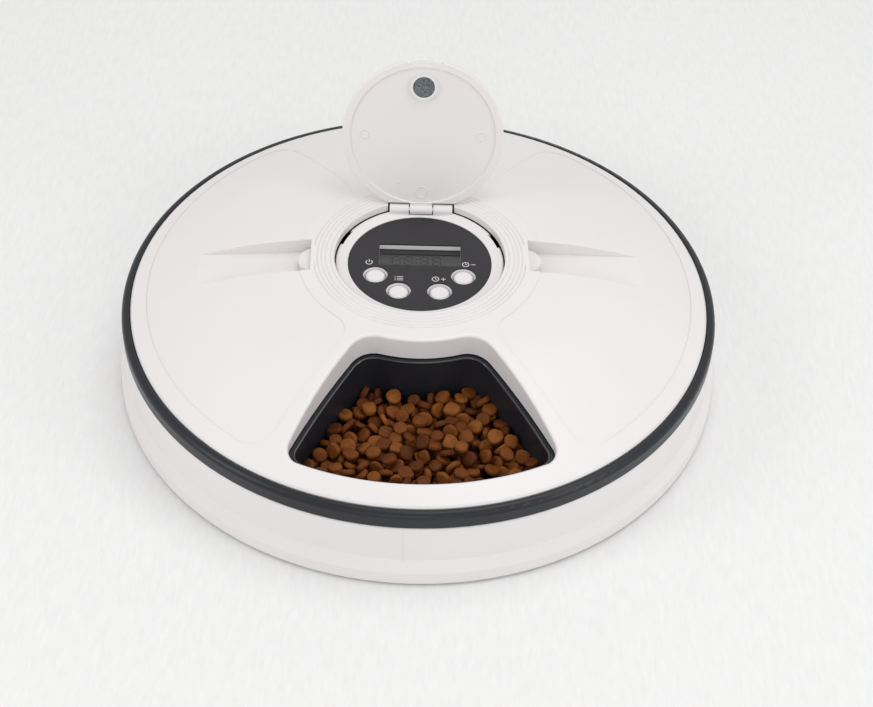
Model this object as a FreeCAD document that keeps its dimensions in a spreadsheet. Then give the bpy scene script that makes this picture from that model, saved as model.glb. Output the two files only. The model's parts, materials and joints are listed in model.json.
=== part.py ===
"""Automatic pet feeder: a round base, a turning tray of six compartments, a fixed lid with one
serving window, and a control unit under a flip-up cover.

Frame: millimetres, +Z up, origin on the floor at the middle of the base, the serving window
towards -Y. The cover stands open and everything else is at rest.
"""
import FreeCAD, Part
import math
import os

import Sketcher

from FreeCAD import Placement, Rotation, Vector

doc = FreeCAD.newDocument("pet_feeder")
sheet = doc.addObject("Spreadsheet::Sheet", "Sizes")

SIZES = {
    # base pan and its central column
    "base_radius": 162.5, "base_low": 1.5, "skirt_top": 9.2, "flare_top": 15.5,
    "wall_radius": 158.3, "wall_thickness": 2.6, "wall_top": 37.7,
    "floor_low": 5.0, "floor_top": 7.5,
    "column_outer": 44.0, "column_inner": 41.8, "column_top": 56.2,
    # tray
    "tray_low": 9.0, "hub_inner": 59.8, "hub_outer": 62.2, "hub_top": 60.0,
    "cup_outer": 141.0, "cup_outer_top": 48.3, "rim_radius": 158.5, "rim_inner": 154.0,
    "rim_low": 38.2, "rim_top": 47.4, "rim_shoulder": 44.6, "rim_ledge": 41.5,
    # lid
    "lid_radius": 153.6, "lid_edge": 47.6, "lid_low": 44.3, "lid_flat": 57.0, "lid_top": 73.5,
    "lid_hole": 45.0, "lid_thickness": 2.5, "dome_radius": 114.0, "dome_height": 63.5,
    "window_inner": 65.2, "window_outer": 142.0, "window_inner_half": 26.4,
    "window_outer_half": 28.2, "window_bulge": 2.8, "cup_inset": 1.8, "lid_turn": 1.6,
    # control unit
    "collar_radius": 44.3, "collar_top": 69.5, "panel_radius": 37.9, "panel_top": 67.7,
    "plate_top": 66.9, "plate_low": 64.2, "label_thickness": 0.8,
    "board_top": 59.2, "board_thickness": 1.6,
    # cover
    "cover_radius": 43.0, "hinge_back": 41.6, "hinge_height": 70.6, "cover_lean": 13.0,
    "cover_middle": -1.2, "pin_radius": 1.2,
    # drive
    "gear_module": 1.5, "drive_gear_back": 40.5, "motor_back": 18.0,
    # batteries
    "cell_radius": 13.1, "cell_low": 4.9, "cell_length": 50.0, "cell_ring": 27.2,
}
for row, (alias, value) in enumerate(SIZES.items(), start=1):
    sheet.set(f"A{row}", alias)
    sheet.set(f"B{row}", str(value))
    sheet.setAlias(f"B{row}", alias)
doc.recompute()


class Size:
    """A length that carries its number and the spreadsheet formula it comes from."""

    def __init__(self, number, formula):
        self.number = number
        self.formula = formula

    def __add__(self, other):
        return Size(self.number + float(other), f"({self.formula} + {text(other)})")

    def __sub__(self, other):
        return Size(self.number - float(other), f"({self.formula} - {text(other)})")

    def __rsub__(self, other):
        return Size(other - self.number, f"({other} - {self.formula})")

    def __mul__(self, other):
        return Size(self.number * float(other), f"({self.formula} * {text(other)})")

    def __neg__(self):
        return Size(-self.number, f"(-1 * {self.formula})")

    def __float__(self):
        return float(self.number)

    __radd__ = __add__
    __rmul__ = __mul__


def text(value):
    """The formula of a Size, or the digits of a plain number."""
    return value.formula if isinstance(value, Size) else repr(float(value))


def bind(item, name, value):
    """Set a property and, for a Size, tie it to the spreadsheet."""
    if isinstance(value, Size):
        item.setExpression(name, value.formula)


class Sheet:
    """Attribute access to the driving dimensions, such as S.base_radius."""

    def __getattr__(self, alias):
        return Size(SIZES[alias], f"Sizes.{alias}")


S = Sheet()
NODES = []


def keep(item, label):
    """Name an object as one of the sub-parts that are exported."""
    item.Label = label
    NODES.append(item)
    return item


# ---------------------------------------------------------------- sketches

def counterclockwise_arc(start, middle, end):
    """The arc through three points, stored the way a sketch keeps it."""
    curve = Part.Arc(start, middle, end).toShape().Curve
    turn = (middle - start).cross(end - middle).z
    first, last = (start, end) if turn > 0 else (end, start)
    circle = Part.Circle(curve.Center, Vector(0, 0, 1), curve.Radius)
    return Part.ArcOfCircle(circle, circle.parameter(first), circle.parameter(last))


def draw(outline, corners, arcs):
    """Close a loop through the corners, each coordinate bound to its size.

    arcs maps the index of a corner to a point on the arc that leaves it.
    """
    count = len(corners)
    points = [Vector(float(across), float(along), 0) for across, along in corners]
    for index, start in enumerate(points):
        end = points[(index + 1) % count]
        if index in arcs:
            middle = Vector(float(arcs[index][0]), float(arcs[index][1]), 0)
            outline.addGeometry(counterclockwise_arc(start, middle, end), False)
        else:
            outline.addGeometry(Part.LineSegment(start, end), False)
    edges = outline.Geometry

    def end_at(index, point):
        return 1 if edges[index].StartPoint.distanceToPoint(point) < 1e-6 else 2

    for index, point in enumerate(points):
        before = (index - 1) % count
        here = end_at(index, point)
        outline.addConstraint(Sketcher.Constraint("Coincident", before, end_at(before, point),
                                                  index, here))
        for axis, value in zip("XY", corners[index]):
            number = outline.addConstraint(
                Sketcher.Constraint("Distance" + axis, -1, 1, index, here, float(value)))
            bind(outline, f"Constraints[{number}]", value)
    for index in arcs:
        outline.addConstraint(Sketcher.Constraint("Radius", index, edges[index].Radius))


def origin_plane(body, role):
    return next(plane for plane in body.Origin.OriginFeatures if plane.Role == role)


def body_sketch(body, name, corners, upright=False, level=0.0, arcs=None):
    """A sketch in a body, on its XZ plane if upright, or on its XY plane raised to a level."""
    outline = body.newObject("Sketcher::SketchObject", name)
    plane = "XZ_Plane" if upright else "XY_Plane"
    outline.AttachmentSupport = [(origin_plane(body, plane), "")]
    outline.MapMode = "FlatFace"
    if not upright:
        outline.AttachmentOffset = Placement(Vector(0, 0, float(level)), Rotation())
        bind(outline, ".AttachmentOffset.Base.z", level)
    draw(outline, corners, arcs or {})
    return outline


def free_sketch(name, corners, upright=False, level=0.0, arcs=None):
    """A sketch outside any body, upright in the XZ plane or flat at a level."""
    outline = doc.addObject("Sketcher::SketchObject", name)
    if upright:
        outline.Placement = Placement(Vector(), Rotation(Vector(1, 0, 0), 90))
    else:
        outline.Placement = Placement(Vector(0, 0, float(level)), Rotation())
        bind(outline, ".Placement.Base.z", level)
    draw(outline, corners, arcs or {})
    return outline


# ---------------------------------------------------------------- solids

def turned_body(name, corners, arcs=None):
    """A body turned about Z from its half section (radius, height)."""
    body = doc.addObject("PartDesign::Body", name)
    section = body_sketch(body, name + "_section", corners, upright=True, arcs=arcs)
    turn = body.newObject("PartDesign::Revolution", name + "_turn")
    turn.Profile = section
    turn.ReferenceAxis = (section, ["V_Axis"])
    turn.Angle = 360
    return body


def padded_body(name, corners, level, height, arcs=None):
    """A body padded up from a flat outline at a level."""
    body = doc.addObject("PartDesign::Body", name)
    outline = body_sketch(body, name + "_outline", corners, level=level, arcs=arcs)
    pad = body.newObject("PartDesign::Pad", name + "_pad")
    pad.Profile = outline
    pad.Length = float(height)
    bind(pad, "Length", height)
    return body


def turned(name, corners, arcs=None):
    """A solid of revolution about Z from its half section."""
    section = free_sketch(name + "_section", corners, upright=True, arcs=arcs)
    solid = doc.addObject("Part::Revolution", name)
    solid.Source = section
    solid.Axis = Vector(0, 0, 1)
    solid.Angle = 360
    solid.Solid = True
    return solid


def raised(name, corners, level, height, arcs=None, taper=0.0):
    """A prism on a flat outline; a negative height goes down."""
    outline = free_sketch(name + "_outline", corners, level=level, arcs=arcs)
    solid = doc.addObject("Part::Extrusion", name)
    solid.Base = outline
    solid.DirMode = "Custom"
    solid.Dir = Vector(0, 0, 1)
    solid.LengthFwd = float(height)
    bind(solid, "LengthFwd", height)
    solid.TaperAngle = taper
    solid.Solid = True
    return solid


def across(name, corners, half_width):
    """A prism on an upright outline in (x, z), as deep as two half widths in Y."""
    outline = free_sketch(name + "_outline", corners, upright=True)
    solid = doc.addObject("Part::Extrusion", name)
    solid.Base = outline
    solid.DirMode = "Custom"
    solid.Dir = Vector(0, 1, 0)
    solid.LengthFwd = half_width
    solid.LengthRev = half_width
    solid.Solid = True
    return solid


def place(item, x=0.0, y=0.0, z=0.0, turn=0.0):
    """Put an object at a point, turned about Z, with the point bound to its sizes."""
    item.Placement = Placement(Vector(float(x), float(y), float(z)),
                               Rotation(Vector(0, 0, 1), turn))
    for axis, value in zip("xyz", (x, y, z)):
        bind(item, f".Placement.Base.{axis}", value)
    return item


def rod(name, radius, low, height, x=0.0, y=0.0):
    """An upright cylinder."""
    solid = doc.addObject("Part::Cylinder", name)
    solid.Radius = float(radius)
    bind(solid, "Radius", radius)
    solid.Height = float(height)
    bind(solid, "Height", height)
    return place(solid, x, y, low)


def cone(name, low_radius, high_radius, low, height, x=0.0, y=0.0):
    solid = doc.addObject("Part::Cone", name)
    solid.Radius1 = float(low_radius)
    solid.Radius2 = float(high_radius)
    solid.Height = float(height)
    return place(solid, x, y, low)


def block(name, x_span, y_span, z_span):
    """A box between its limits along X, Y and Z."""
    solid = doc.addObject("Part::Box", name)
    for side, (start, end) in zip(("Length", "Width", "Height"), (x_span, y_span, z_span)):
        setattr(solid, side, float(end) - float(start))
        if isinstance(start, Size) or isinstance(end, Size):
            bind(solid, side, (end if isinstance(end, Size) else Size(end, text(end))) - start)
    return place(solid, x_span[0], y_span[0], z_span[0])


def crosswise_rod(name, radius, half_length, y, z):
    """A cylinder along X, centred on the YZ plane."""
    solid = doc.addObject("Part::Cylinder", name)
    solid.Radius = float(radius)
    bind(solid, "Radius", radius)
    solid.Height = 2 * half_length
    solid.Placement = Placement(Vector(-half_length, float(y), float(z)),
                                Rotation(Vector(0, 1, 0), 90))
    bind(solid, ".Placement.Base.y", y)
    bind(solid, ".Placement.Base.z", z)
    return solid


def ring(name, outer, inner, low, height):
    """A flat ring about Z, as a body."""
    high = low + height
    return turned_body(name, [(inner, low), (outer, low), (outer, high), (inner, high)])


def fused(name, *parts):
    solid = doc.addObject("Part::MultiFuse", name)
    solid.Shapes = list(parts)
    return solid


def cut(name, base, *tools):
    solid = doc.addObject("Part::Cut", name)
    solid.Base = base
    solid.Tool = tools[0] if len(tools) == 1 else fused(name + "_tools", *tools)
    return solid


def shared(name, *parts):
    solid = doc.addObject("Part::MultiCommon", name)
    solid.Shapes = list(parts)
    return solid


def group(name, *parts):
    """Separate solids that share one node."""
    solids = doc.addObject("Part::Compound", name)
    solids.Links = list(parts)
    return solids


def around(radius, degrees):
    """The point at a radius and an angle from +X."""
    angle = math.radians(degrees)
    return radius * math.cos(angle), radius * math.sin(angle)


def screw(name, x, y, head_low, shank_low, shank_high, head_height=1.6, head_radius=2.3):
    """A round-headed screw with its shank between two heights."""
    head = rod(name + "_head", head_radius, head_low, head_height, x, y)
    shank = rod(name + "_shank", SCREW_RADIUS, shank_low, shank_high - shank_low, x, y)
    # the cross that the driver turns, in the face of the head away from the shank
    faces_down = shank_high > head_low + head_height
    low = head_low - CROSS_DEPTH if faces_down else head_low + head_height - CROSS_DEPTH
    slots = [block(f"{name}_cross_{turn}", (float(x) - reach, float(x) + reach),
                   (float(y) - breadth, float(y) + breadth), (low, low + 2 * CROSS_DEPTH))
             for turn, (reach, breadth) in enumerate(((1.4, 0.3), (0.3, 1.4)))]
    return cut(name, fused(name + "_whole", head, shank), *slots)


SCREW_RADIUS = 1.25
CROSS_DEPTH = 0.5


# ---------------------------------------------------------------- base pan and column

COLUMN_BOSSES = [around(37.9, degrees) for degrees in (0, 180, 225, 315)]
PLATE_SCREWS = [around(50.0, degrees) for degrees in (0, 180, 235, 305)]
FEET = [around(140.0, 30 + 60 * turn) for turn in range(6)]
CELLS = [around(SIZES["cell_ring"], degrees) for degrees in (30, 90, 150)]
CELL_BORE = 13.35
DOOR_HALF = 38.2
DOOR_FRONT = -2.0
DOOR_BACK = 41.5


def build_base_shell():
    inner = S.wall_radius - S.wall_thickness
    pan = turned("pan", [
        (0, S.floor_low), (S.base_radius - 2.9, S.floor_low), (S.base_radius - 2.9, S.base_low),
        (S.base_radius - 0.4, S.base_low), (S.base_radius, S.base_low + 0.8),
        (S.base_radius - 0.2, S.skirt_top), (S.wall_radius + 0.4, S.flare_top),
        (S.wall_radius - 0.3, S.wall_top - 0.6), (S.wall_radius - 0.9, S.wall_top),
        (inner, S.wall_top), (inner, S.floor_top + 6.0), (inner - 5.0, S.floor_top),
        (S.column_outer, S.floor_top), (S.column_outer, S.column_top),
        (S.column_inner, S.column_top), (S.column_inner, S.floor_top), (0, S.floor_top)])
    parts = [pan]
    for number, (x, y) in enumerate(COLUMN_BOSSES):
        parts.append(rod(f"column_boss_{number}", 3.7, S.floor_top, S.column_top - S.floor_top, x, y))
    for number, (x, y) in enumerate(PLATE_SCREWS):
        parts.append(rod(f"plate_boss_{number}", 3.0, S.floor_top, 1.0, x, y))
    parts.append(rod("gear_boss", 4.0, S.floor_top, 2.7, 0, -S.drive_gear_back))
    parts.append(cut("bearing_rib", rod("rib_outer", 65.6, S.floor_top, 0.9),
                     rod("rib_inner", 64.2, S.floor_top - 1, 4.0)))
    tools = [block("gear_window", (-16.2, 16.2), (-47.0, -38.0), (S.floor_top + 1.0, 21.5))]
    tools.append(rod("axle_hole", 2.0, S.floor_low + 0.8, 8.0, 0, -S.drive_gear_back))
    for number, (x, y) in enumerate(CELLS):
        tools.append(rod(f"cell_opening_{number}", CELL_BORE, 3.0, 6.0, x, y))
    for number, (x, y) in enumerate(COLUMN_BOSSES):
        tools.append(rod(f"column_bore_{number}", SCREW_RADIUS, S.column_top - 12, 14.0, x, y))
    for number, (x, y) in enumerate(PLATE_SCREWS):
        tools.append(rod(f"plate_bore_{number}", SCREW_RADIUS, 3.0, 5.4, x, y))
    # the gear boss stays whole, so the window is cut first
    column = cut("pan_with_window", fused("pan_parts", *parts), tools[0])
    keep(cut("base_shell_solid", fused("pan_and_boss", column, parts[-2]), *tools[1:]), "base_shell")


def build_base_plate():
    """The plate under the column, with the channel that the battery door slides in."""
    plate = rod("plate_disc", 58.0, 2.5, S.floor_low - 2.5)
    tools = [
        block("door_channel", (-DOOR_HALF - 0.3, DOOR_HALF + 0.3), (DOOR_FRONT - 0.5, 60), (2.0, 6.0)),
        block("door_groove", (-DOOR_HALF - 2.3, DOOR_HALF + 2.3), (DOOR_FRONT - 0.5, 60), (2.9, 4.5))]
    for number, (x, y) in enumerate(PLATE_SCREWS):
        tools.append(rod(f"plate_hole_{number}", SCREW_RADIUS, 2.0, 4.0, x, y))
        tools.append(rod(f"plate_counterbore_{number}", 2.6, 2.0, 1.6, x, y))
    keep(cut("base_plate_solid", plate, *tools), "base_plate")
    screws = [screw(f"plate_screw_{number}", x, y, 2.6, 3.4, 8.3, head_height=1.0)
              for number, (x, y) in enumerate(PLATE_SCREWS)]
    keep(group("plate_screws", *screws), "base_plate_screws")


def build_battery_door():
    door = padded_body("door_slab", [(-DOOR_HALF, DOOR_FRONT), (DOOR_HALF, DOOR_FRONT),
                                     (DOOR_HALF, DOOR_BACK), (-DOOR_HALF, DOOR_BACK)], 2.6, 2.0)
    tongues = block("door_tongues", (-DOOR_HALF - 2.0, DOOR_HALF + 2.0), (DOOR_FRONT, DOOR_BACK),
                    (3.2, 4.2))
    grips = [block(f"door_grip_{number}", (-14.0, 14.0), (31.0 + 2.4 * number, 32.2 + 2.4 * number),
                   (2.0, 3.1)) for number in range(4)]
    strips = [block("strip_seat_left", (-32.0, 4.0), (18.0, 26.0), (4.1, 5.0)),
              block("strip_seat_right", (18.0, 30.0), (9.0, 17.0), (4.1, 5.0))]
    keep(cut("battery_door_solid", fused("door_whole", door, tongues), *grips, *strips),
         "battery_door")
    keep(group("door_strips", block("strip_left", (-32.0, 4.0), (18.0, 26.0), (4.1, 4.6)),
               block("strip_right", (18.0, 30.0), (9.0, 17.0), (4.1, 4.6))), "battery_door_strips")


def build_feet():
    for number, (x, y) in enumerate(FEET, start=1):
        foot = turned_body(f"foot_{number}", [(0, 0), (5.2, 0), (6.0, 0.8), (6.5, S.floor_low),
                                              (0, S.floor_low)])
        keep(place(foot, x, y), f"rubber_foot_{number}")


# ---------------------------------------------------------------- batteries

def build_batteries():
    cups = []
    bores = []
    for number, (x, y) in enumerate(CELLS, start=1):
        cups.append(rod(f"cup_{number}", CELL_BORE + 0.9, S.floor_top, 49.7, x, y))
        bores.append(rod(f"bore_{number}", CELL_BORE, S.floor_top - 1, 49.9, x, y))
        low = S.cell_low
        top = S.cell_low + S.cell_length
        cell = turned_body(f"cell_{number}", [
            (0, low), (S.cell_radius - 1.2, low), (S.cell_radius, low + 1.2),
            (S.cell_radius, top - 3.0), (S.cell_radius - 1.2, top - 1.8), (3.2, top - 1.6),
            (3.2, top), (0, top)])
        keep(place(cell, x, y), f"battery_{number}")
    keep(cut("battery_holder_solid", fused("cups", *cups), *bores), "battery_holder")
    springs = []
    for number, (x, y) in enumerate(CELLS):
        springs.append(fused(f"leaf_{number}",
                             block(f"leaf_flat_{number}", (x - 7, x + 7), (y - 3, y + 3), (55.9, 56.4)),
                             block(f"leaf_foot_{number}", (x - 3, x + 3), (y - 3, y + 3), (54.9, 56.0))))
    keep(group("leaves", *springs), "battery_contacts")


# ---------------------------------------------------------------- drive

def involute(angle):
    return math.tan(angle) - angle


class Gear:
    """A stub-tooth involute gear of the shared module."""

    pressure = math.radians(20)
    play = 0.15

    def __init__(self, teeth, internal=False):
        module = SIZES["gear_module"]
        self.teeth = teeth
        self.pitch = module * teeth / 2
        side = -1 if internal else 1
        self.tip = self.pitch + side * 0.8 * module
        self.root = self.pitch - side * 1.1 * module
        self.base = self.pitch * math.cos(self.pressure)
        slack = self.play / module * (1 if internal else -1)
        self.half = (math.pi / 2 + slack) / teeth

    def half_angle(self, radius):
        """Half the angle of a tooth, or of an internal gear's gap, at a radius."""
        at_radius = math.acos(min(1.0, self.base / max(radius, self.base)))
        return self.half + involute(self.pressure) - involute(at_radius)

    def flank(self, start, end, side, centre):
        """Points along one flank, turned so that the tooth's middle lies at an angle."""
        steps = 3
        points = []
        for step in range(steps + 1):
            radius = start + (end - start) * step / steps
            angle = centre + side * self.half_angle(radius)
            points.append((radius * math.cos(angle), radius * math.sin(angle)))
        return points


def gear_wheel(name, gear, bore, low, height, first_tooth, x, y):
    """An external gear, as a solid made from all its teeth."""
    points = []
    for number in range(gear.teeth):
        centre = math.radians(first_tooth) + 2 * math.pi * number / gear.teeth
        points += gear.flank(gear.root, gear.tip, -1, centre)
        points += gear.flank(gear.tip, gear.root, 1, centre)
    wire = Part.makePolygon([Vector(px, py, 0) for px, py in points + points[:1]])
    teeth = Part.Face(wire).extrude(Vector(0, 0, height))
    wheel = doc.addObject("Part::Feature", name)
    wheel.Shape = teeth.cut(Part.makeCylinder(bore, height))
    return place(wheel, x, y, low)


def build_drive():
    drive = Gear(18)
    pinion = Gear(12)
    annulus = Gear(72, internal=True)
    back = SIZES["drive_gear_back"]
    motor = SIZES["motor_back"]
    keep(gear_wheel("drive_wheel", drive, 2.05, 10.5, 7.0, -90.0, 0, -back), "drive_gear")
    keep(gear_wheel("pinion_wheel", pinion, 2.0, 10.0, 8.0, -75.0, 0, -motor), "motor_pinion")
    keep(rod("shaft", 2.0, 9.5, 13.0, 0, -S.motor_back), "output_shaft")

    # one gap between teeth, cut all round a plain ring
    body = turned_body("annulus", [(annulus.tip, 9.2), (S.hub_inner, 9.2), (S.hub_inner, 18.5),
                                   (annulus.tip, 18.5)])
    inner_edge = annulus.tip - 1.0
    gap = [(inner_edge, -annulus.tip * math.sin(annulus.half_angle(annulus.tip)))]
    gap += annulus.flank(annulus.tip, annulus.root, -1, 0.0)
    gap += annulus.flank(annulus.root, annulus.tip, 1, 0.0)
    gap.append((inner_edge, annulus.tip * math.sin(annulus.half_angle(annulus.tip))))
    outline = body_sketch(body, "annulus_gap", gap, level=20.0)
    pocket = body.newObject("PartDesign::Pocket", "annulus_pocket")
    pocket.Profile = outline
    pocket.Length = 15.0
    pattern = body.newObject("PartDesign::PolarPattern", "annulus_teeth")
    pattern.Originals = [pocket]
    pattern.Axis = (outline, ["N_Axis"])
    pattern.Angle = 360
    pattern.Occurrences = annulus.teeth
    body.Tip = pattern
    keep(body, "ring_gear")

    keep(rod("axle", 2.0, S.floor_low + 0.8, 13.4, 0, -S.drive_gear_back), "drive_gear_axle")
    clip = cut("clip_ring", rod("clip_disc", 4.0, 17.8, 0.6, 0, -S.drive_gear_back),
               rod("clip_bore", 2.0, 17.0, 2.0, 0, -S.drive_gear_back))
    keep(clip, "axle_clip")

    plate = block("bracket_plate", (-23, 23), (-32, -4), (19, 21))
    legs = [block("bracket_leg_left", (-23, -21), (-22, -8), (S.floor_top, 20)),
            block("bracket_leg_right", (21, 23), (-22, -8), (S.floor_top, 20)),
            block("bracket_toe_left", (-28, -21), (-22, -8), (S.floor_top, 9.5)),
            block("bracket_toe_right", (21, 28), (-22, -8), (S.floor_top, 9.5))]
    shaft_hole = rod("bracket_hole", 4.6, 18, 4, 0, -S.motor_back)
    keep(cut("motor_bracket_solid", fused("bracket_whole", plate, *legs), shaft_hole,
             rod("bracket_screw_hole_left", SCREW_RADIUS, 18, 4, -13, -S.motor_back),
             rod("bracket_screw_hole_right", SCREW_RADIUS, 18, 4, 13, -S.motor_back)),
         "motor_bracket")
    screws = [screw(f"bracket_screw_{side}", 13 * side, -S.motor_back, 17.6, 18.0, 25.0,
                    head_height=1.4, head_radius=2.0) for side in (-1, 1)]
    keep(group("bracket_screws", *screws), "motor_bracket_screws")

    case = fused("gearbox_case", rod("gearbox_drum", 15.0, 21.0, 15.0, 0, -S.motor_back),
                 rod("gearbox_nose", 4.4, 19.2, 2.0, 0, -S.motor_back),
                 block("gearbox_ears", (-15.5, 15.5), (-motor - 3.5, -motor + 3.5), (21.0, 27.0)))
    keep(cut("gearbox_solid", case, rod("gearbox_bore", 2.05, 19.0, 4.0, 0, -S.motor_back),
             rod("ear_hole_left", SCREW_RADIUS, 20, 5.2, -13, -S.motor_back),
             rod("ear_hole_right", SCREW_RADIUS, 20, 5.2, 13, -S.motor_back)), "gearbox")
    can = fused("can", rod("can_drum", 12.0, 36.0, 17.0, 0, -S.motor_back),
                rod("can_boss", 3.5, 53.0, 1.2, 0, -S.motor_back))
    keep(can, "drive_motor")


# ---------------------------------------------------------------- tray

def build_tray():
    keep(ring("glide", 64.0, 60.0, S.floor_top, 1.2), "glide_ring")
    blank = turned("tray_blank", [
        (S.hub_inner, S.tray_low), (S.cup_outer - 1.0, S.tray_low),
        (S.cup_outer + 2.2, S.tray_low + 8), (S.cup_outer + 2.2, S.rim_low),
        (S.rim_radius - 0.4, S.rim_low), (S.rim_radius, S.rim_low + 0.4),
        (S.rim_radius, S.rim_shoulder), (S.rim_inner + 0.9, S.rim_top),
        (S.rim_inner, S.rim_top - 0.6), (S.rim_inner, S.rim_ledge),
        (S.cup_outer + 4.2, S.rim_ledge), (S.cup_outer + 2.4, S.cup_outer_top - 0.4),
        (S.cup_outer + 1.8, S.cup_outer_top), (S.cup_outer, S.cup_outer_top),
        (S.hub_outer, S.hub_top), (S.hub_inner + 0.6, S.hub_top), (S.hub_inner, S.hub_top - 0.6)],
        arcs={6: (S.rim_radius - 1.2, S.rim_shoulder + 2.1)})
    # the tray is hollow from below between the walls of its compartments
    inside = turned("tray_inside", [
        (S.hub_inner + TRAY_WALL, S.tray_low - 1), (S.cup_outer - 3.0, S.tray_low - 1),
        (S.cup_outer, S.tray_low + 8), (S.cup_outer, S.cup_outer_top - 2.6),
        (S.hub_inner + TRAY_WALL, S.hub_top - 2.8)])
    doc.recompute()
    walls = all_round("cup_walls", cup_tool(-TRAY_WALL, 8.0, 64.0))
    cups = all_round("cups_of_the_tray", cup_tool(0.0, 11.0, 62.0))
    underside = cut("tray_underside", inside, walls)
    keep(with_lid(cut("food_tray_solid", blank, cups, underside)), "food_tray")


def all_round(name, shape):
    """Six copies of a shape about the axis."""
    copies = doc.addObject("Part::Feature", name)
    copies.Shape = Part.makeCompound([shape.rotated(Vector(), Vector(0, 0, 1), 60 * turn)
                                      for turn in range(6)])
    return copies


def window_outline(grow, level):
    """The serving window's sector with bowed sides, towards -Y, grown all round."""
    inner = SIZES["window_inner"] - grow
    outer = SIZES["window_outer"] + grow
    inner_half = SIZES["window_inner_half"] + math.degrees(grow / inner)
    outer_half = SIZES["window_outer_half"] + math.degrees(grow / outer)
    return sector_edges(inner, outer, inner_half, outer_half, SIZES["window_bulge"], -90, level)


def cup_outline(level, shrink):
    """The rounded sector of one compartment, made smaller all round."""
    return window_outline(-SIZES["cup_inset"] - shrink, level)


def cup_tool(shrink, floor, top):
    """The hollow of one compartment, or its outside: a tapered, rounded sector."""
    wires = [Part.Wire(cup_outline(top, shrink)), Part.Wire(cup_outline(floor, shrink + 3.4))]
    hollow = Part.makeLoft(wires, True, True)
    inset = SIZES["cup_inset"] + shrink
    for radius, low_reach, high_reach in ((WINDOW_INNER_ROUND - inset, 0, 90),
                                          (WINDOW_OUTER_ROUND - inset, 120, 200)):
        corner = [edge for edge in hollow.Edges if len(edge.Vertexes) == 2
                  and abs(edge.Vertexes[0].Point.z - edge.Vertexes[-1].Point.z) > 40
                  and low_reach < math.hypot(edge.CenterOfMass.x, edge.CenterOfMass.y) < high_reach]
        hollow = hollow.makeFillet(radius, corner)
    bottom = [edge for edge in hollow.Edges if abs(edge.BoundBox.ZMax - floor) < 0.01]
    return hollow.makeFillet(5.0, bottom)


def build_food():
    """The portion in the serving compartment, as one plain heap."""
    heap = Part.makeLoft([Part.Wire(cup_outline(level, shrink))
                          for level, shrink in ((11.4, 9.0), (36.0, 5.0))], True, True)
    crown = Part.makeLoft([Part.Wire(cup_outline(level, shrink))
                           for level, shrink in ((36.0, 5.0), (43.0, 13.0))], True, True)
    portion = doc.addObject("Part::Feature", "portion")
    portion.Shape = heap.fuse(crown).removeSplitter()
    keep(with_lid(portion), "kibble_portion")


# ---------------------------------------------------------------- control unit

BUTTONS = {"on_off": (-23.1, -9.8), "set": (-10.7, -22.0),
           "time_up": (10.7, -22.0), "time_down": (23.1, -9.8)}
MAGNET_FRONT = -29.6
LUG_HEIGHT = 2.0
KNUCKLE = 2.9
KNUCKLE_INNER = 6.7
KNUCKLE_OUTER = 17.0


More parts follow.
